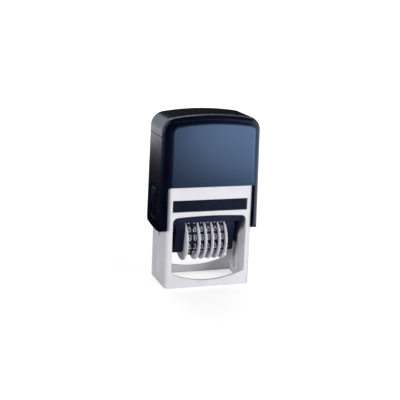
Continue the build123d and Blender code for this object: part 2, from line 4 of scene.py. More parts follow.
import bmesh
import bpy
import numpy as np
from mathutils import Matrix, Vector


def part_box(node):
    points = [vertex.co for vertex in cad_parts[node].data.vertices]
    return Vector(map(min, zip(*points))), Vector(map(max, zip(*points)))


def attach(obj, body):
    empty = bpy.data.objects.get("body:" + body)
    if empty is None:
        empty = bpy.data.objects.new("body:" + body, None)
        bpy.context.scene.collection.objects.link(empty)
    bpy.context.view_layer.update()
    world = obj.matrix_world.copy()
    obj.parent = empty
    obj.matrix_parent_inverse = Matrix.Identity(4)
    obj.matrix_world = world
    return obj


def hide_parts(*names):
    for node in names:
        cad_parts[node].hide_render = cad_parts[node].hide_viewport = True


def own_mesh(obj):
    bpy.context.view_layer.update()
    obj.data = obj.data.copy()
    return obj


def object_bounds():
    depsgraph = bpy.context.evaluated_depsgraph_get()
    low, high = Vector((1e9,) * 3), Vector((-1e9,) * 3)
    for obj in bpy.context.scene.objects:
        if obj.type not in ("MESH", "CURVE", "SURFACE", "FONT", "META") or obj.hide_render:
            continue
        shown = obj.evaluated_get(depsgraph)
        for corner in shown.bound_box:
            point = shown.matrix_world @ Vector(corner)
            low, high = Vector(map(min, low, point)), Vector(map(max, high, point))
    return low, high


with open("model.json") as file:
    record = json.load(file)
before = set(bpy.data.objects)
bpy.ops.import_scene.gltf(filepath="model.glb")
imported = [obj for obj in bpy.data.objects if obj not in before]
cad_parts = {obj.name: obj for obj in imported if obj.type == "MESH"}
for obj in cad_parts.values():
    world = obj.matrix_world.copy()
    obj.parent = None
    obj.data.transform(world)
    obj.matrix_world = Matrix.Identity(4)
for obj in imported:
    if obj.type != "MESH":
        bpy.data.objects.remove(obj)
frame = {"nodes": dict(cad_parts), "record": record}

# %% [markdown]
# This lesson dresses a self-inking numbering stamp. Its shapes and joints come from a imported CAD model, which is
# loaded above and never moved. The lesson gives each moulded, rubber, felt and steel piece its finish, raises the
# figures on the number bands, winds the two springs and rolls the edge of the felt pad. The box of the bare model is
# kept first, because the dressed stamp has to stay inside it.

MM = 0.001
cad_low, cad_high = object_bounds()
print("bare model, millimetres:", [round(side / MM, 2) for side in cad_high - cad_low])

# %% [markdown]
# A stamp is small enough to stand on a desk, so the camera looks slightly down at it from the front left. A long
# lens keeps the upright edges nearly parallel. The Standard view transform shows a colour as it is written.

# %% Camera
CAMERA_PLACE = (-203.936 * MM, -578.285 * MM, 204.822 * MM)
CAMERA_TURN = (radians(76.1779), radians(-2.2445), radians(-18.7394))
CAMERA_LENS = 86.2993
camera_data = bpy.data.cameras.new("camera")
camera_data.lens = CAMERA_LENS
camera_data.clip_start = 10 * MM
camera = bpy.data.objects.new("camera", camera_data)
camera.location = CAMERA_PLACE
camera.rotation_euler = CAMERA_TURN
bpy.context.scene.collection.objects.link(camera)
bpy.context.scene.camera = camera
bpy.context.scene.view_settings.view_transform = "Standard"
print("camera stands at", [round(c, 3) for c in camera.location])

# %% [markdown]
# Every shader below is a small tree of nodes. Two helpers keep the trees short: one adds a node with its settings
# and its input values, the other joins outputs to inputs. Colours are written as the eye knows them, from 0 to 255,
# and turned into the linear values that a shader works with.


# %% Shader helpers
def add(tree, kind, place=(0, 0), inputs=None, **settings):
    """One new shader node, with its properties and the values of its inputs, by name or number."""
    made = tree.nodes.new(kind)
    made.location = place
    for name, value in settings.items():
        setattr(made, name, value)
    for name, value in (inputs or {}).items():
        made.inputs[name].default_value = value
    return made


def join(tree, *pairs):
    """Links each pair of an output and an input."""
    for output, socket in pairs:
        tree.links.new(output, socket)


def colour(red, green, blue):
    """Linear colour of an everyday one: ((c + 0.055) / 1.055) to the power 2.4, or c / 12.92 where it is dark."""
    c = np.array([red, green, blue]) / 255
    linear = np.where(c > 0.04045, ((c + 0.055) / 1.055) ** 2.4, c / 12.92)
    return (*linear.tolist(), 1.0)


# %% [markdown]
# The studio is a pale floor under a white sky. What the eye meets straight on, in a mirror or through glass is plain
# white, so the background stays clean, while the light that falls on the stamp is softer. The Light Path node tells
# the two apart. The floor adds the same glow to a matt surface, which still takes the stamp's shadow.


# %% What is seen directly
def seen_directly(tree, place):
    """1 for camera, glossy and transmission rays, and 0 for light on its way to a surface."""
    path = add(tree, "ShaderNodeLightPath", place)
    either = add(tree, "ShaderNodeMath", (place[0] + 180, place[1]), operation="MAXIMUM")
    any_of = add(tree, "ShaderNodeMath", (place[0] + 360, place[1]), operation="MAXIMUM")
    join(
        tree,
        (path.outputs["Is Camera Ray"], either.inputs[0]),
        (path.outputs["Is Glossy Ray"], either.inputs[1]),
        (either.outputs[0], any_of.inputs[0]),
        (path.outputs["Is Transmission Ray"], any_of.inputs[1]),
    )
    return any_of.outputs[0]


# %% Sky
SKY_LIGHT = 0.31
world = bpy.data.worlds.new("studio")
bpy.context.scene.world = world
world.use_nodes = True
sky = world.node_tree
sky.nodes.clear()
background = add(sky, "ShaderNodeBackground", (400, 0), {"Color": (1, 1, 1, 1)})
sky_out = add(sky, "ShaderNodeOutputWorld", (600, 0))
sky_strength = add(sky, "ShaderNodeMapRange", (200, 0), {"To Min": SKY_LIGHT, "To Max": 1.0})
join(
    sky,
    (seen_directly(sky, (-400, 0)), sky_strength.inputs["Value"]),
    (sky_strength.outputs["Result"], background.inputs["Strength"]),
    (background.outputs[0], sky_out.inputs["Surface"]),
)
print("the sky lights the stamp at", SKY_LIGHT)

# %% Floor
FLOOR_HALF = 6.0
FLOOR_GLOW_NEAR = 0.53
FLOOR_GLOW_FAR = 0.86
GLOW_RISES_FROM = 0.10
GLOW_RISES_TO = 0.80
floor_mesh = bpy.data.meshes.new("floor")
floor_corners = np.array([(-1, -1, 0), (1, -1, 0), (1, 1, 0), (-1, 1, 0)]) * FLOOR_HALF
floor_mesh.from_pydata(floor_corners.tolist(), [], [(0, 1, 2, 3)])
floor = bpy.data.objects.new("floor", floor_mesh)
bpy.context.scene.collection.objects.link(floor)
floor_paint = bpy.data.materials.new("floor_paint")
floor_paint.use_nodes = True
paper = floor_paint.node_tree
paper.nodes.clear()
matt = add(paper, "ShaderNodeBsdfDiffuse", (0, 100), {"Color": colour(228, 228, 228)})
glow = add(paper, "ShaderNodeEmission", (0, -100), {"Color": (1, 1, 1, 1)})
floor_place = add(paper, "ShaderNodeTexCoord", (-800, -350))
distance = add(paper, "ShaderNodeVectorMath", (-600, -350), operation="LENGTH")
rise = add(
    paper,
    "ShaderNodeMapRange",
    (-400, -350),
    {"From Min": GLOW_RISES_FROM, "From Max": GLOW_RISES_TO, "To Min": FLOOR_GLOW_NEAR, "To Max": FLOOR_GLOW_FAR},
    interpolation_type="SMOOTHSTEP",
)
glow_strength = add(paper, "ShaderNodeMath", (-200, -100), operation="MULTIPLY")
both = add(paper, "ShaderNodeAddShader", (200, 0))
paper_out = add(paper, "ShaderNodeOutputMaterial", (400, 0))
join(
    paper,
    (floor_place.outputs["Object"], distance.inputs[0]),
    (distance.outputs["Value"], rise.inputs["Value"]),
    (seen_directly(paper, (-800, -100)), glow_strength.inputs[0]),
    (rise.outputs["Result"], glow_strength.inputs[1]),
    (glow_strength.outputs[0], glow.inputs["Strength"]),
    (matt.outputs[0], both.inputs[0]),
    (glow.outputs[0], both.inputs[1]),
    (both.outputs[0], paper_out.inputs["Surface"]),
)
floor_mesh.materials.append(floor_paint)
print("floor,", 2 * FLOOR_HALF, "metres across")

# %% [markdown]
# A matt surface only takes a lamp's light, while a polished one also mirrors its shape. So three large lamps light the
# stamp softly from the front right, the left and behind, and are kept out of reflections. Two strips are there to be
# mirrored: one low at the front right, which the cap's front shows as a glow that fades to the left and downwards, and
# one behind, which draws a line along the rim of the cap's top.


# %% Lamps
def softbox(name, place, width, height, power, mirrored=True):
    """A flat lamp at a place that shines at the stamp's middle, and may be kept out of reflections."""
    lamp = bpy.data.lights.new(name, "AREA")
    lamp.shape = "RECTANGLE"
    lamp.size = width
    lamp.size_y = height
    lamp.energy = power
    stand = bpy.data.objects.new(name, lamp)
    stand.location = place
    aim = (cad_low + cad_high) / 2 - Vector(place)
    stand.rotation_euler = aim.to_track_quat("-Z", "Y").to_euler()
    stand.visible_glossy = mirrored
    bpy.context.scene.collection.objects.link(stand)


softbox("key_lamp", (0.36, -0.62, 0.24), 0.30, 0.30, 1.7, mirrored=False)
softbox("shine_lamp", (0.205, -0.33, 0.067), 0.24, 0.12, 0.46)
softbox("window_lamp", (-0.72, -0.54, 0.15), 0.30, 0.30, 3.5, mirrored=False)
softbox("back_lamp", (-0.10, 0.80, 0.34), 0.40, 0.40, 1.5, mirrored=False)
softbox("rim_lamp", (0.15, 0.44, 0.54), 0.70, 0.09, 1.1)
print("lamps:", [lamp.name for lamp in bpy.data.lights])

# %% [markdown]
# A polished dark surface also needs something dark to mirror, or its edges wash out against the white. A
# photographer sets up black cards for that. These are met by reflections alone, so they take no light and throw no
# shadow. One lies on the floor and reaches furthest on the left, because that is where the cap's corner looks.


# %% A black card
def black_card(name, corners):
    """A black sheet between corners that only reflections meet."""
    mesh = bpy.data.meshes.new(name)
    mesh.from_pydata(corners, [], [tuple(range(len(corners)))])
    card = bpy.data.objects.new(name, mesh)
    bpy.context.scene.collection.objects.link(card)
    card.visible_camera = False
    card.visible_diffuse = False
    card.visible_transmission = False
    card.visible_shadow = False
    mesh.materials.append(CARD_PAINT)
    print(name, "stands ready")


CARD_PAINT = bpy.data.materials.new("card_paint")
CARD_PAINT.use_nodes = True
CARD_PAINT.node_tree.nodes["Principled BSDF"].inputs["Base Color"].default_value = (0.004, 0.004, 0.004, 1)
CARD_PAINT.node_tree.nodes["Principled BSDF"].inputs["Specular IOR Level"].default_value = 0.0

# %% Cards round the stamp
CARD_TOP = 1.4
LYING_REACH = 0.47
LYING_SHIFT = 0.40
LYING_TOWARDS = radians(188)
LYING_LIFT = 0.5 * MM
LYING_CORNERS = 48
black_card("back_card", [(-0.05, 0.8, 0.0), (1.4, 0.6, 0.0), (1.4, 0.6, CARD_TOP), (-0.05, 0.8, CARD_TOP)])
black_card("corner_card", [(-1.1, 0.15, 0.0), (-0.15, -1.1, 0.0), (-0.15, -1.1, CARD_TOP), (-1.1, 0.15, CARD_TOP)])
black_card("front_card", [(-0.9, -0.7, 0.0), (0.5, -0.7, 0.0), (0.5, -0.7, CARD_TOP), (-0.9, -0.7, CARD_TOP)])
black_card("upper_card", [(-0.9, -0.6, CARD_TOP), (1.4, -0.6, CARD_TOP), (1.4, 0.9, CARD_TOP), (-0.9, 0.9, CARD_TOP)])


def lying_outline():
    """Ring of corners just above the floor, at a reach + shift * cos(angle - the way that it points)."""
    angle = np.linspace(0, 2 * np.pi, LYING_CORNERS, endpoint=False)
    reach = LYING_REACH + LYING_SHIFT * np.cos(angle - LYING_TOWARDS)
    return np.column_stack([reach * np.cos(angle), reach * np.sin(angle), np.full_like(angle, LYING_LIFT)]).tolist()


black_card("lying_card", lying_outline())

# %% [markdown]
# Moulded plastic is never quite smooth or even. Its mould leaves a fine grain, its pigment clouds a little, its
# sharp edges are slightly round and get polished by handling, and dust settles on what faces up. Each of these is a
# node group with named inputs, built once and placed in every finish that needs it. They read Object coordinates,
# so a pattern stays with its piece.


# %% Group helper
def new_group(name, inputs, outputs):
    """An empty shader node group with named number inputs and named outputs, and its two end nodes."""
    group = bpy.data.node_groups.new(name, "ShaderNodeTree")
    for label, value in inputs.items():
        socket = group.interface.new_socket(label, in_out="INPUT", socket_type="NodeSocketFloat")
        socket.default_value = value
    for label, kind in outputs.items():
        group.interface.new_socket(label, in_out="OUTPUT", socket_type=kind)
    start = add(group, "NodeGroupInput", (-800, 0))
    end = add(group, "NodeGroupOutput", (600, 0))
    return group, start, end


# %% Grain of a mould
def build_mould_grain():
    """Height of spark-eroded grain: fine noise plus pits where a Voronoi distance is small."""
    group, start, end = new_group(
        "mould_grain", {"Grains per metre": 4500.0, "Pits": 0.35}, {"Height": "NodeSocketFloat"}
    )
    place = add(group, "ShaderNodeTexCoord", (-800, -200))
    fine = add(group, "ShaderNodeTexNoise", (-400, 100), {"Detail": 3.0, "Roughness": 0.6})
    cells = add(group, "ShaderNodeTexVoronoi", (-400, -150))
    pits = add(group, "ShaderNodeMath", (-150, -150), operation="MULTIPLY")
    height = add(group, "ShaderNodeMath", (150, 0), operation="ADD")
    join(
        group,
        (place.outputs["Object"], fine.inputs["Vector"]),
        (place.outputs["Object"], cells.inputs["Vector"]),
        (start.outputs["Grains per metre"], fine.inputs["Scale"]),
        (start.outputs["Grains per metre"], cells.inputs["Scale"]),
        (cells.outputs["Distance"], pits.inputs[0]),
        (start.outputs["Pits"], pits.inputs[1]),
        (fine.outputs["Fac"], height.inputs[0]),
        (pits.outputs[0], height.inputs[1]),
        (height.outputs[0], end.inputs["Height"]),
    )
    return group


MOULD_GRAIN = build_mould_grain()
print("group", MOULD_GRAIN.name)


# %% Clouded pigment
def build_clouds():
    """A slow noise, stretched to reach from 0 to 1, that shifts a colour or a roughness."""
    group, start, end = new_group("clouds", {"Clouds per metre": 60.0}, {"Amount": "NodeSocketFloat"})
    place = add(group, "ShaderNodeTexCoord", (-800, -200))
    slow = add(group, "ShaderNodeTexNoise", (-400, 0), {"Detail": 4.0, "Roughness": 0.55})
    reach = add(group, "ShaderNodeMapRange", (-100, 0), {"From Min": 0.35, "From Max": 0.65})
    join(
        group,
        (place.outputs["Object"], slow.inputs["Vector"]),
        (start.outputs["Clouds per metre"], slow.inputs["Scale"]),
        (slow.outputs["Fac"], reach.inputs["Value"]),
        (reach.outputs["Result"], end.inputs["Amount"]),
    )
    return group


CLOUDS = build_clouds()
print("group", CLOUDS.name)


# %% Rounded and handled edges
def build_edges():
    """Normal rounded over a radius, and a mask of how far it turns from the flat one at an edge."""
    group, start, end = new_group(
        "edges", {"Radius": 0.0003}, {"Normal": "NodeSocketVector", "Handled": "NodeSocketFloat"}
    )
    rounded = add(group, "ShaderNodeBevel", (-400, 100), samples=6)
    flat = add(group, "ShaderNodeNewGeometry", (-400, -150))
    alike = add(group, "ShaderNodeVectorMath", (-150, 0), operation="DOT_PRODUCT")
    turned = add(
        group, "ShaderNodeMapRange", (100, 0), {"From Min": 0.99, "From Max": 0.75, "To Min": 0.0, "To Max": 1.0}
    )
    join(
        group,
        (start.outputs["Radius"], rounded.inputs["Radius"]),
        (rounded.outputs["Normal"], alike.inputs[0]),
        (flat.outputs["Normal"], alike.inputs[1]),
        (alike.outputs["Value"], turned.inputs["Value"]),
        (rounded.outputs["Normal"], end.inputs["Normal"]),
        (turned.outputs["Result"], end.inputs["Handled"]),
    )
    return group


EDGES = build_edges()
print("group", EDGES.name)


# %% Settled dust
def build_dust():
    """Mask of dust: where the surface faces up, broken by two sizes of noise."""
    group, start, end = new_group("dust", {"Amount": 0.3}, {"Mask": "NodeSocketFloat"})
    place = add(group, "ShaderNodeTexCoord", (-800, -300))
    surface = add(group, "ShaderNodeNewGeometry", (-800, 200))
    parts = add(group, "ShaderNodeSeparateXYZ", (-600, 200))
    facing = add(group, "ShaderNodeMapRange", (-400, 200), {"From Min": 0.55, "From Max": 1.0})
    specks = add(group, "ShaderNodeTexNoise", (-400, -100), {"Scale": 2600.0, "Detail": 2.0})
    broken = add(group, "ShaderNodeMapRange", (-200, -100), {"From Min": 0.52, "From Max": 0.75})
    lying = add(group, "ShaderNodeMath", (0, 100), operation="MULTIPLY")
    mask = add(group, "ShaderNodeMath", (200, 0), operation="MULTIPLY")
    join(
        group,
        (surface.outputs["Normal"], parts.inputs["Vector"]),
        (parts.outputs["Z"], facing.inputs["Value"]),
        (place.outputs["Object"], specks.inputs["Vector"]),
        (specks.outputs["Fac"], broken.inputs["Value"]),
        (facing.outputs["Result"], lying.inputs[0]),
        (broken.outputs["Result"], lying.inputs[1]),
        (lying.outputs[0], mask.inputs[0]),
        (start.outputs["Amount"], mask.inputs[1]),
        (mask.outputs[0], end.inputs["Mask"]),
    )
    return group


DUST = build_dust()
print("group", DUST.name)

# %% [markdown]
# A finish puts the groups together. Every plastic piece of the stamp is made the same way, so one function builds
# them all: the two pigment colours are mixed by the clouds, the handled edges and the dust lighten them, the clouds
# change the roughness, and the grain bends the rounded normal. The shader itself stays in the
# material, with its constant values on its own sockets.


# %% One group in a finish
def place_group(tree, group, place, **values):
    """The group as a node in a tree, with values for its inputs."""
    made = add(tree, "ShaderNodeGroup", place, node_tree=group)
    for name, value in values.items():
        made.inputs[name.replace("_", " ").capitalize()].default_value = value
    return made


# %% Moulded plastic
def moulded(name, dark, light, edge, roughness, specular, tint=(1, 1, 1, 1), depth=0.08, radius=0.3, dust=0.15):
    """Finish of moulded plastic, from its two pigment colours, its edge colour and its gloss."""
    made = bpy.data.materials.new(name)
    made.use_nodes = True
    tree = made.node_tree
    shader = tree.nodes["Principled BSDF"]
    shader.location = (700, 0)
    shader.inputs["Specular IOR Level"].default_value = specular
    shader.inputs["Specular Tint"].default_value = tint
    clouds = place_group(tree, CLOUDS, (-600, 200))
    edges = place_group(tree, EDGES, (-600, -100), radius=radius * MM)
    settled = place_group(tree, DUST, (-600, -300), amount=dust)
    relief = place_group(tree, MOULD_GRAIN, (-600, -500))
    pigment = add(tree, "ShaderNodeMix", (-200, 300), {6: dark, 7: light}, data_type="RGBA")
    handled = add(tree, "ShaderNodeMix", (0, 250), {7: edge}, data_type="RGBA")
    worn = add(tree, "ShaderNodeMath", (-200, 0), {1: 0.6}, operation="MULTIPLY")
    dusty = add(tree, "ShaderNodeMix", (200, 200), {7: colour(150, 148, 145)}, data_type="RGBA")
    gloss = add(
        tree, "ShaderNodeMapRange", (0, -50), {"To Min": roughness * 0.97, "To Max": roughness * 1.03}
    )
    bump = add(tree, "ShaderNodeBump", (400, -300), {"Strength": depth, "Distance": 0.02 * MM})
    join(
        tree,
        (clouds.outputs["Amount"], pigment.inputs[0]),
        (pigment.outputs[2], handled.inputs[6]),
        (edges.outputs["Handled"], worn.inputs[0]),
        (worn.outputs[0], handled.inputs[0]),
        (handled.outputs[2], dusty.inputs[6]),
        (settled.outputs["Mask"], dusty.inputs[0]),
        (dusty.outputs[2], shader.inputs["Base Color"]),
        (clouds.outputs["Amount"], gloss.inputs["Value"]),
        (gloss.outputs["Result"], shader.inputs["Roughness"]),
        (relief.outputs["Height"], bump.inputs["Height"]),
        (edges.outputs["Normal"], bump.inputs["Normal"]),
        (bump.outputs["Normal"], shader.inputs["Normal"]),
    )
    return made


# %% [markdown]
# The cap is polished plastic of a navy so deep that most of its colour is in its shine, which is blue when it is met
# straight on. What sits inside is a duller navy. The base is a pale cool grey, and so are the wheels.

# %% Plastic finishes
BLUE_SHINE = (0.36, 0.58, 1.0, 1.0)
CAP_SHINE = {"tint": BLUE_SHINE, "depth": 0.02, "dust": 0.03}
FINISHES = {
    "cap_navy": moulded(
        "cap_navy", colour(4, 5, 20), colour(6, 8, 26), colour(24, 30, 58), 0.25, 0.74, **CAP_SHINE
    ),
    "inner_navy": moulded(
        "inner_navy", colour(22, 24, 48), colour(28, 31, 58), colour(48, 52, 80), 0.45, 0.14
    ),
    "tray_navy": moulded(
        "tray_navy", colour(10, 14, 36), colour(14, 20, 46), colour(48, 60, 90), 0.36, 0.16, radius=0.15
    ),
    "base_grey": moulded(
        "base_grey", colour(210, 209, 215), colour(216, 215, 221), colour(228, 228, 232), 0.42, 0.35
    ),
    "wheel_grey": moulded(
        "wheel_grey", colour(212, 209, 218), colour(219, 217, 225), colour(230, 229, 235), 0.46, 0.32, radius=0.15
    ),
}
print("plastics:", sorted(FINISHES))

# %% [markdown]
# Low in the middle of each of the base's sides, a pale strip streaked up and down is a painted highlight, and a dark V
# above it is painted shade at the pointed foot of the side's groove. Both stand for a longer groove, of which the
# solids only hold the top. Both marks are masks on the piece's own coordinates: they fade over their rims, long thin
# noise breaks them, and they lie on the outer faces alone.


# %% Masks of the marks
def ramp(tree, source, start, stop, place):
    """0 where the source is at the first value, 1 at the second, smooth between them."""
    made = add(
        tree, "ShaderNodeMapRange", place, {"From Min": start, "From Max": stop}, interpolation_type="SMOOTHSTEP"
    )
    join(tree, (source, made.inputs["Value"]))
    return made.outputs["Result"]


def product(tree, first, *others):
    """All the masks multiplied together."""
    for row, other in enumerate(others):
        made = add(tree, "ShaderNodeMath", (-300, -900 - 150 * row), operation="MULTIPLY")
        join(tree, (first, made.inputs[0]), (other, made.inputs[1]))
        first = made.outputs[0]
    return first


# %% Painted groove highlight and shade on the base
# Where the strip of painted highlight and the V of painted groove shade lie.
HIGHLIGHT_HALF = 2.2 * MM
HIGHLIGHT_FOOT = 4.0 * MM
HIGHLIGHT_HEAD = 26.0 * MM
GROOVE_SHADE_FOOT = 30.0 * MM
GROOVE_SHADE_HEAD = 36.5 * MM
GROOVE_SHADE_SLOPE = 0.6
GROOVE_SHADE_RIM = 0.8 * MM
OUTER_FACE = 28.2 * MM
OUTER_FADE = 0.6 * MM
# The pale colour is a painted highlight and the dark one a painted shade of the groove.
PAINTED_HIGHLIGHT = colour(236, 236, 240)
PAINTED_SHADE = colour(104, 104, 116)


def paint_groove_light(material):
    """Where |x| is largest: painted highlight in a streaked pale strip where |y| is small, and painted groove shade
    where |y| < slope * (z - foot).
    """
    tree = material.node_tree
    shader = tree.nodes["Principled BSDF"]
    bare = shader.inputs["Base Color"].links[0].from_socket
    place = add(tree, "ShaderNodeTexCoord", (-1200, -900))
    parts = add(tree, "ShaderNodeSeparateXYZ", (-1000, -900))
    aside = add(tree, "ShaderNodeMath", (-800, -900), operation="ABSOLUTE")
    outward = add(tree, "ShaderNodeMath", (-800, -1000), operation="ABSOLUTE")
    long_way = add(tree, "ShaderNodeMapping", (-1000, -1150), {"Scale": (1.0, 1.0, 0.04)})
    streaks = add(tree, "ShaderNodeTexNoise", (-800, -1150), {"Scale": 1400.0, "Detail": 3.0})
    slope_values = {1: GROOVE_SHADE_SLOPE, 2: -GROOVE_SHADE_SLOPE * GROOVE_SHADE_FOOT}
    slope = add(tree, "ShaderNodeMath", (-600, -1400), slope_values, operation="MULTIPLY_ADD")
    inside = add(tree, "ShaderNodeMath", (-450, -1400), operation="SUBTRACT")
    join(
        tree,
        (place.outputs["Object"], parts.inputs["Vector"]),
        (place.outputs["Object"], long_way.inputs["Vector"]),
        (long_way.outputs["Vector"], streaks.inputs["Vector"]),
        (parts.outputs["X"], outward.inputs[0]),
        (parts.outputs["Y"], aside.inputs[0]),
        (parts.outputs["Z"], slope.inputs[0]),
        (slope.outputs[0], inside.inputs[0]),
        (aside.outputs[0], inside.inputs[1]),
    )
    outer = ramp(tree, outward.outputs[0], OUTER_FACE - OUTER_FADE, OUTER_FACE, (-600, -800))
    # Mask of the painted highlight strip.
    highlight_mask = product(
        tree,
        outer,
        ramp(tree, aside.outputs[0], HIGHLIGHT_HALF, 0.4 * HIGHLIGHT_HALF, (-600, -900)),
        ramp(tree, parts.outputs["Z"], HIGHLIGHT_FOOT, 2 * HIGHLIGHT_FOOT, (-600, -1000)),
        ramp(tree, parts.outputs["Z"], HIGHLIGHT_HEAD, 0.5 * HIGHLIGHT_HEAD, (-600, -1100)),
        ramp(tree, streaks.outputs["Fac"], 0.35, 0.62, (-600, -1200)),
    )
    # Mask of the painted shade in the groove's V.
    shade_mask = product(
        tree,
        outer,
        ramp(tree, inside.outputs[0], 0.0, GROOVE_SHADE_RIM, (-300, -1400)),
        ramp(tree, parts.outputs["Z"], GROOVE_SHADE_HEAD + MM, GROOVE_SHADE_HEAD, (-600, -1550)),
        ramp(tree, streaks.outputs["Fac"], 0.2, 0.6, (-600, -1650)),
    )
    # The painted highlight and then the painted shade go into the base colour.
    pale = add(tree, "ShaderNodeMix", (300, 500), {7: PAINTED_HIGHLIGHT}, data_type="RGBA")
    shade_mix = add(tree, "ShaderNodeMix", (480, 500), {7: PAINTED_SHADE}, data_type="RGBA")
    join(
        tree,
        (bare, pale.inputs[6]),
        (highlight_mask, pale.inputs[0]),
        (pale.outputs[2], shade_mix.inputs[6]),
        (shade_mask, shade_mix.inputs[0]),
        (shade_mix.outputs[2], shader.inputs["Base Color"]),
    )


# Painted highlight and groove shade go onto the base's sides.
paint_groove_light(FINISHES["base_grey"])
print("painted groove highlight and shade on base_grey")

# %% [markdown]
# The bands, the text plate and the figures are rubber, which is matt and slightly uneven in colour. A band is nearly
# black and its figures are paler, so that the number that is set can be read. The felt pad is soaked with ink: its
# fibres glisten a little over an almost black ground.


# %% Rubber
def rubber(name, clean, stained, roughness, specular):
    """Matt finish whose stain follows the clouds, with a fine powdery relief."""
    made = bpy.data.materials.new(name)
    made.use_nodes = True
    tree = made.node_tree
    shader = tree.nodes["Principled BSDF"]
    shader.inputs["Specular IOR Level"].default_value = specular
    clouds = place_group(tree, CLOUDS, (-700, 200), clouds_per_metre=420.0)
    edges = place_group(tree, EDGES, (-700, 0), radius=0.12 * MM)
    powder = place_group(tree, MOULD_GRAIN, (-700, -300), grains_per_metre=9000.0, pits=0.1)
    stain = add(tree, "ShaderNodeMix", (-300, 200), {6: clean, 7: stained}, data_type="RGBA")
    gloss = add(
        tree, "ShaderNodeMapRange", (-300, 0), {"To Min": roughness, "To Max": roughness - 0.12}
    )
    bump = add(tree, "ShaderNodeBump", (-300, -300), {"Strength": 0.12, "Distance": 0.02 * MM})
    join(
        tree,
        (clouds.outputs["Amount"], stain.inputs[0]),
        (stain.outputs[2], shader.inputs["Base Color"]),
        (clouds.outputs["Amount"], gloss.inputs["Value"]),
        (gloss.outputs["Result"], shader.inputs["Roughness"]),
        (powder.outputs["Height"], bump.inputs["Height"]),
        (edges.outputs["Normal"], bump.inputs["Normal"]),
        (bump.outputs["Normal"], shader.inputs["Normal"]),
    )
    return made


FINISHES["band_rubber"] = rubber("band_rubber", colour(36, 39, 54), colour(20, 22, 36), 0.66, 0.25)
FINISHES["plate_rubber"] = rubber("plate_rubber", colour(92, 52, 44), colour(58, 34, 36), 0.70, 0.25)
FIGURE_RUBBER = rubber("figure_rubber", colour(186, 191, 204), colour(136, 141, 156), 0.60, 0.30)
print("rubbers: band_rubber, plate_rubber,", FIGURE_RUBBER.name)


# %% Felt
def inked_felt():
    """Stretched noise for fibres that cross in two directions, over an ink-dark ground."""
    made = bpy.data.materials.new("pad_felt")
    made.use_nodes = True
    tree = made.node_tree
    shader = tree.nodes["Principled BSDF"]
    shader.inputs["Roughness"].default_value = 0.62
    shader.inputs["Specular IOR Level"].default_value = 0.4
    shader.inputs["Sheen Weight"].default_value = 0.3
    shader.inputs["Sheen Roughness"].default_value = 0.5
    place = add(tree, "ShaderNodeTexCoord", (-1100, 0))
    one_way = add(tree, "ShaderNodeMapping", (-900, 200), {"Scale": (1.0, 7.0, 1.0)})
    other_way = add(tree, "ShaderNodeMapping", (-900, -200), {"Scale": (6.0, 1.0, 1.0)})
    fibres = add(tree, "ShaderNodeTexNoise", (-700, 200), {"Scale": 900.0, "Detail": 4.0})
    cross = add(tree, "ShaderNodeTexNoise", (-700, -200), {"Scale": 800.0, "Detail": 4.0})
    height = add(tree, "ShaderNodeMath", (-450, 0), operation="MAXIMUM")
    shade = add(tree, "ShaderNodeMapRange", (-250, 150), {"From Min": 0.45, "From Max": 0.75})
    ink = add(
        tree, "ShaderNodeMix", (-50, 150), {6: colour(12, 12, 30), 7: colour(44, 44, 84)}, data_type="RGBA"
    )
    bump = add(tree, "ShaderNodeBump", (-50, -200), {"Strength": 0.6, "Distance": 0.08 * MM})
    join(
        tree,
        (place.outputs["Object"], one_way.inputs["Vector"]),
        (place.outputs["Object"], other_way.inputs["Vector"]),
        (one_way.outputs["Vector"], fibres.inputs["Vector"]),
        (other_way.outputs["Vector"], cross.inputs["Vector"]),
        (fibres.outputs["Fac"], height.inputs[0]),
        (cross.outputs["Fac"], height.inputs[1]),
        (height.outputs[0], shade.inputs["Value"]),
        (shade.outputs["Result"], ink.inputs[0]),
        (ink.outputs[2], shader.inputs["Base Color"]),
        (height.outputs[0], bump.inputs["Height"]),
        (bump.outputs["Normal"], shader.inputs["Normal"]),
    )
    return made


FINISHES["pad_felt"] = inked_felt()
print("felt: pad_felt")

# %% [markdown]
# The axle is a bright turned pin and the springs are drawn wire. Both are bare steel, so they are fully metallic.
# Fine lines round the pin come from noise that is squeezed along its length, and the wire only has the faint scratches
# of its die.


# %% Steel
def steel(name, tint, roughness, lines):
    """Bare metal with fine lines: noise whose scale differs along X, Y and Z."""
    made = bpy.data.materials.new(name)
    made.use_nodes = True
    tree = made.node_tree
    shader = tree.nodes["Principled BSDF"]
    shader.inputs["Base Color"].default_value = tint
    shader.inputs["Metallic"].default_value = 1.0
    place = add(tree, "ShaderNodeTexCoord", (-900, 0))
    squeeze = add(tree, "ShaderNodeMapping", (-700, 0), {"Scale": lines})
    turned = add(tree, "ShaderNodeTexNoise", (-500, 0), {"Scale": 500.0, "Detail": 3.0})
    gloss = add(
        tree, "ShaderNodeMapRange", (-250, 0), {"To Min": roughness - 0.08, "To Max": roughness + 0.12}
    )
    bump = add(tree, "ShaderNodeBump", (-250, -250), {"Strength": 0.15, "Distance": 0.01 * MM})
    join(
        tree,
        (place.outputs["Object"], squeeze.inputs["Vector"]),
        (squeeze.outputs["Vector"], turned.inputs["Vector"]),
        (turned.outputs["Fac"], gloss.inputs["Value"]),
        (gloss.outputs["Result"], shader.inputs["Roughness"]),
        (turned.outputs["Fac"], bump.inputs["Height"]),
        (bump.outputs["Normal"], shader.inputs["Normal"]),
    )
    return made


FINISHES["axle_steel"] = steel("axle_steel", colour(198, 198, 200), 0.26, (20.0, 1.0, 1.0))
FINISHES["spring_steel"] = steel("spring_steel", colour(176, 178, 182), 0.34, (4.0, 4.0, 0.6))
print("steels: axle_steel, spring_steel")

# %% [markdown]
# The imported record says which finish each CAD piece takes. A CAD piece keeps its mesh, so dressing it only means
# putting that finish into its material slot.

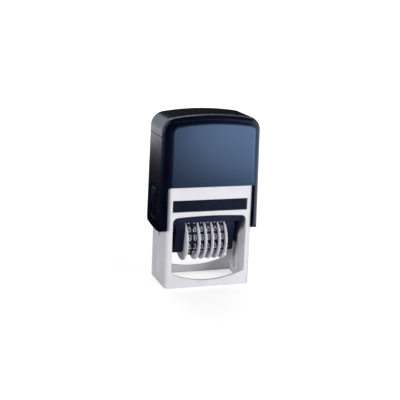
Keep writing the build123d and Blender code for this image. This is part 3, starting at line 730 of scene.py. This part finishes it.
# %% Dress the CAD pieces
for row in frame["record"]["subparts"]:
    mesh = frame["nodes"][row["node"]].data
    mesh.materials.clear()
    mesh.materials.append(FINISHES[row["material_slot"]])
BODY_OF = {name: body for body, names in frame["record"]["behaviour"]["bodies"].items() for name in names}
print("dressed", len(BODY_OF), "CAD pieces")

# %% [markdown]
# New pieces are surfaces worked out as grids of points. A grid has rows and columns, and the faces between them are
# found for the whole grid at once: each face joins a point, its neighbour along the row, and the two in the next
# row. A grid can close on itself either way, as a tube does round its section.


# %% Faces of a grid
MERGE_WITHIN = 0.0005 * MM
SHARP_ANGLE = radians(35)


def grid_faces(rows, columns, closed_rows=False, closed_columns=False):
    """Corners (r, c), (r, c + 1), (r + 1, c + 1), (r + 1, c) of every cell, wrapped where the grid is closed."""
    r = np.arange(rows if closed_rows else rows - 1)[:, None]
    c = np.arange(columns if closed_columns else columns - 1)[None, :]
    next_r, next_c = (r + 1) % rows, (c + 1) % columns
    corners = [r * columns + c, r * columns + next_c, next_r * columns + next_c, next_r * columns + c]
    return np.stack(np.broadcast_arrays(*corners), axis=-1).reshape(-1, 4)


def new_piece(name, points, faces, body, finish):
    """A smooth mesh piece from points and faces, riding on a body, with its doubles merged and facing out."""
    mesh = bpy.data.meshes.new(name)
    mesh.from_pydata(np.asarray(points).tolist(), [], faces)
    shape = bmesh.new()
    shape.from_mesh(mesh)
    bmesh.ops.remove_doubles(shape, verts=shape.verts, dist=MERGE_WITHIN)
    bmesh.ops.recalc_face_normals(shape, faces=shape.faces)
    shape.to_mesh(mesh)
    shape.free()
    mesh.shade_smooth()
    mesh.set_sharp_from_angle(angle=SHARP_ANGLE)
    mesh.materials.append(finish)
    piece = bpy.data.objects.new(name, mesh)
    bpy.context.scene.collection.objects.link(piece)
    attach(piece, body)
    print(name, len(mesh.polygons), "faces")
    return piece


# %% [markdown]
# A return spring is round wire wound into a coil whose first and last turns are closed, so that it stands square.
# The wire's middle line is a circle that climbs, slowly at both ends. A round section is carried along it. The CAD
# coil is made of straight lengths, so this smooth one stands for it.

# %% Springs
COIL_RADIUS = 3.5 * MM
WIRE_RADIUS = 0.4 * MM
COIL_TURNS = 9
POINTS_PER_TURN = 40
WIRE_POINTS = 10
BLEND_POINTS = 10


def wind_spring(name):
    """Middle line (R cos t, R sin t, climb(t)) and section r (cos a, sin a) in its outward and upward directions."""
    low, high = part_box(name)
    foot, head = low.z + WIRE_RADIUS, high.z - WIRE_RADIUS
    turn = np.linspace(0, COIL_TURNS, COIL_TURNS * POINTS_PER_TURN + 1)
    ends = [0, 1, COIL_TURNS - 1, COIL_TURNS]
    heights = [foot, foot + 2 * WIRE_RADIUS, head - 2 * WIRE_RADIUS, head]
    climb = np.interp(turn, ends, heights)
    window = np.ones(2 * BLEND_POINTS + 1) / (2 * BLEND_POINTS + 1)
    smooth = np.convolve(np.pad(climb, BLEND_POINTS, mode="edge"), window, mode="valid")
    t = 2 * np.pi * turn
    outward = np.column_stack([np.cos(t), np.sin(t), np.zeros_like(t)])
    middle = outward * COIL_RADIUS + np.column_stack([np.zeros((t.size, 2)), smooth])
    middle[:, 0] += (low.x + high.x) / 2
    along = np.gradient(middle, axis=0)
    along /= np.linalg.norm(along, axis=1)[:, None]
    upward = np.cross(along, outward)
    a = np.linspace(0, 2 * np.pi, WIRE_POINTS, endpoint=False)
    section = np.cos(a)[None, :, None] * outward[:, None] + np.sin(a)[None, :, None] * upward[:, None]
    points = (middle[:, None] + WIRE_RADIUS * section).reshape(-1, 3)
    faces = grid_faces(t.size, WIRE_POINTS, closed_columns=True).tolist()
    last = points.shape[0] - WIRE_POINTS
    faces += [list(range(WIRE_POINTS)), list(range(last, last + WIRE_POINTS))]
    wound = name.replace("return_", "wound_")
    spring = new_piece(wound, points, faces, "base", FINISHES["spring_steel"])
    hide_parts(name)
    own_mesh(spring)


for side in ("left", "right"):
    wind_spring(f"return_spring_{side}")

# %% [markdown]
# The ink pad is a block of felt pressed into the tray. Felt doesn't hold a sharp corner: its face swells gently in
# the middle and rolls over at the rim. Its surface is an outline, a rectangle with round corners, that is carried
# inwards and upwards along a profile, so it stays inside the plain CAD block that it stands for.

# %% Ink pad
PAD_OUTLINE_POINTS = 160
PAD_SQUARENESS = 14.0
PAD_SWELL = 0.35 * MM
PAD_ROLL = 0.9 * MM
PAD_CENTRE = 0.02
PAD_FACE_ROWS = 26
PAD_ROLL_ROWS = 8


def felt_pad():
    """Outline |x/a|^n + |y/b|^n = 1, shrunk by each row's share, at that row's height."""
    low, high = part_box("ink_pad")
    half = np.array([high.x - low.x, high.y - low.y]) / 2
    angle = np.linspace(0, 2 * np.pi, PAD_OUTLINE_POINTS, endpoint=False)
    ray = np.column_stack([np.cos(angle), np.sin(angle)])
    reach = (np.abs(ray) ** PAD_SQUARENESS).sum(axis=1) ** (-1 / PAD_SQUARENESS)
    outline = ray * reach[:, None] * half
    share = np.linspace(PAD_CENTRE, 1, PAD_FACE_ROWS)
    roll = np.linspace(0, np.pi / 2, PAD_ROLL_ROWS)
    rim = 1 - PAD_ROLL / half[1]
    face_share = share * rim
    face_height = low.z + PAD_SWELL * share**6
    side_share = rim + (1 - rim) * np.sin(roll)
    side_height = low.z + PAD_SWELL + PAD_ROLL * (1 - np.cos(roll))
    shares = np.concatenate([face_share, side_share[1:], [1, 0.5, PAD_CENTRE]])
    heights = np.concatenate([face_height, side_height[1:], [high.z, high.z, high.z]])
    rows = shares[:, None, None] * outline[None]
    level = np.broadcast_to(heights[:, None, None], (*rows.shape[:2], 1))
    points = np.concatenate([rows, level], axis=2).reshape(-1, 3)
    faces = grid_faces(shares.size, PAD_OUTLINE_POINTS, closed_columns=True).tolist()
    last = points.shape[0] - PAD_OUTLINE_POINTS
    faces += [list(range(PAD_OUTLINE_POINTS)), list(range(last, last + PAD_OUTLINE_POINTS))]
    pad = new_piece("felt_pad", points, faces, "base", FINISHES["pad_felt"])
    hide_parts("ink_pad")


felt_pad()

# %% [markdown]
# Each band carries raised figures from 0 to 9 on ten of its blocks, and the blocks behind them stay bare. A figure of
# type is a ridge with sloping flanks that follows a few strokes. A stroke is a straight run or part of an ellipse, in
# a unit box whose middle is 0, 0. The ridge is the same four-cornered section carried along every stroke.


# %% Strokes of the figures
def bow(middle, radii, start, stop, count=19):
    """Points middle + radii * (cos, sin) of an angle that goes from start to stop, in degrees."""
    angle = np.radians(np.linspace(start, stop, count))
    return np.column_stack([middle[0] + radii[0] * np.cos(angle), middle[1] + radii[1] * np.sin(angle)])


def run(*corners):
    """A straight stroke between two points."""
    return np.array(corners, float)


STROKES = {
    0: [bow((0, 0), (0.5, 0.5), 0, 360, 33)],
    1: [run((-0.3, 0.22), (0.05, 0.5)), run((0.05, 0.5), (0.05, -0.5))],
    2: [bow((0, 0.2), (0.46, 0.3), 165, -38), run((0.36, 0.02), (-0.46, -0.5)), run((-0.46, -0.5), (0.5, -0.5))],
    3: [bow((-0.04, 0.25), (0.46, 0.25), 150, -90), bow((-0.04, -0.24), (0.5, 0.26), 90, -150)],
    4: [run((0.22, -0.5), (0.22, 0.5)), run((0.22, 0.5), (-0.5, -0.2)), run((-0.5, -0.2), (0.5, -0.2))],
    5: [run((0.42, 0.5), (-0.36, 0.5)), run((-0.36, 0.5), (-0.42, 0.02)), bow((-0.02, -0.17), (0.5, 0.33), 140, -145)],
    6: [bow((0, -0.2), (0.48, 0.3), 0, 360, 29), bow((0.46, -0.2), (0.94, 0.7), 180, 112)],
    7: [run((-0.46, 0.5), (0.46, 0.5)), run((0.46, 0.5), (-0.14, -0.5))],
    8: [bow((0, 0.26), (0.4, 0.24), 0, 360, 25), bow((0, -0.24), (0.48, 0.26), 0, 360, 27)],
}
STROKES[9] = [-stroke for stroke in STROKES[6]]
print("figures drawn:", len(STROKES))

# %% A ridge along a stroke
FIGURE_WIDTH = 2.05 * MM
FIGURE_HEIGHT = 3.3 * MM
RIDGE_TOP = 0.5 * MM
RIDGE_FOOT = 0.7 * MM
RIDGE_RELIEF = 0.5 * MM
RIDGE_SUNK = 0.05 * MM


def ridge(stroke):
    """Section corners at +-half width, carried along a stroke on its left-hand normal; open strokes gain ends."""
    path = stroke * (FIGURE_WIDTH, FIGURE_HEIGHT)
    closed = np.allclose(path[0], path[-1])
    if closed:
        path = path[:-1]
        along = np.roll(path, -1, axis=0) - np.roll(path, 1, axis=0)
    else:
        along = np.gradient(path, axis=0)
    along /= np.linalg.norm(along, axis=1)[:, None]
    if not closed:
        path = path.copy()
        path[0] -= along[0] * RIDGE_TOP / 2
        path[-1] += along[-1] * RIDGE_TOP / 2
    left = np.column_stack([-along[:, 1], along[:, 0]])
    offsets = np.array([RIDGE_FOOT, RIDGE_TOP, -RIDGE_TOP, -RIDGE_FOOT]) / 2
    heights = np.array([-RIDGE_SUNK, RIDGE_RELIEF, RIDGE_RELIEF, -RIDGE_SUNK])
    flat = path[:, None] + offsets[None, :, None] * left[:, None]
    points = np.concatenate([flat, np.broadcast_to(heights[None, :, None], (len(path), 4, 1))], axis=2)
    faces = grid_faces(len(path), 4, closed_rows=closed, closed_columns=True).tolist()
    if not closed:
        last = 4 * (len(path) - 1)
        faces += [[0, 1, 2, 3], [last + 3, last + 2, last + 1, last]]
    return points.reshape(-1, 3), faces


# %% [markdown]
# The blocks sit evenly along the band's loop: flat over the anvil, round its corners, straight down and round the
# hub. A block's place and the direction that it faces follow from its distance along the loop. The type has to
# print the right way round, so on the band it is a mirror image, and its head points towards the front at the top.

# %% Places round the band
ANVIL_HALF = 2.6 * MM
ANVIL_CORNER = 1.0 * MM
BAND_OUTSIDE = 1.1 * MM
HUB_RADIUS = 9.3 * MM
BLOCK_LIFT = 0.4 * MM
BLOCK_PITCH = 5.5 * MM
ANVIL_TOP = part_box("print_anvil")[1].z
AXLE_HEIGHT = (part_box("wheel_axle")[0].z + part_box("wheel_axle")[1].z) / 2


def block_places():
    """Outward angle and place of every block, from four stretches of half the loop, mirrored for the front."""
    corner = np.array([ANVIL_HALF - ANVIL_CORNER, ANVIL_TOP - ANVIL_CORNER])
    bend, hub = ANVIL_CORNER + BAND_OUTSIDE, HUB_RADIUS + BAND_OUTSIDE
    drop = corner[1] - AXLE_HEIGHT
    centres = np.hypot(corner[0], drop)
    lean = np.arctan2(-drop, -corner[0]) + np.arccos((bend - hub) / centres)
    straight = np.sqrt(centres**2 - (hub - bend) ** 2)
    ends = np.cumsum([corner[0], bend * (np.pi / 2 - lean), straight, hub * (lean + np.pi / 2)])
    count = int(2 * ends[3] / BLOCK_PITCH)
    distance = np.arange(count) * 2 * ends[3] / count
    half = np.minimum(distance, 2 * ends[3] - distance)
    stretch = [half < ends[0], half < ends[1], half < ends[2]]
    angle = np.select(stretch, [np.pi / 2, np.pi / 2 - (half - ends[0]) / bend, lean], lean - (half - ends[2]) / hub)
    slide = half - ends[1]
    y = np.select(
        stretch,
        [half, corner[0] + bend * np.cos(angle), corner[0] + bend * np.cos(lean) + slide * np.sin(lean)],
        hub * np.cos(angle),
    )
    z = np.select(
        stretch,
        [ANVIL_TOP + BAND_OUTSIDE, corner[1] + bend * np.sin(angle),
         corner[1] + bend * np.sin(lean) - slide * np.cos(lean)],
        AXLE_HEIGHT + hub * np.sin(angle),
    )
    front = distance <= ends[3]
    angle = np.where(front, np.pi - angle, angle)
    return angle, np.column_stack([np.where(front, -y, y), z])


block_angles, block_middles = block_places()
print(len(block_angles), "blocks on each band")

# %% Type on one band
FIRST_FIGURE = 2
BAND_COUNT = 6


def raise_figures(number):
    """Every figure's ridges, set on its block: place + x across the band + y along the loop + height outwards."""
    low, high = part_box(f"number_band_{number}")
    middle = (low.x + high.x) / 2
    all_points, all_faces, total = [], [], 0
    for index in range(len(STROKES)):
        angle, (y, z) = block_angles[index], block_middles[index]
        outward = np.array([0, np.cos(angle), np.sin(angle)])
        ahead = np.array([0, -np.sin(angle), np.cos(angle)])
        base = np.array([middle, y, z]) + outward * BLOCK_LIFT
        for stroke in STROKES[(FIRST_FIGURE - index) % len(STROKES)]:
            points, faces = ridge(stroke)
            across = points[:, :1] * np.array([[1.0, 0, 0]])
            all_points.append(base + across + points[:, 1:2] * ahead + points[:, 2:] * outward)
            all_faces += [[corner + total for corner in face] for face in faces]
            total += len(points)
    new_piece(f"figures_{number}", np.concatenate(all_points), all_faces, "die", FIGURE_RUBBER)


for number in range(1, BAND_COUNT + 1):
    raise_figures(number)
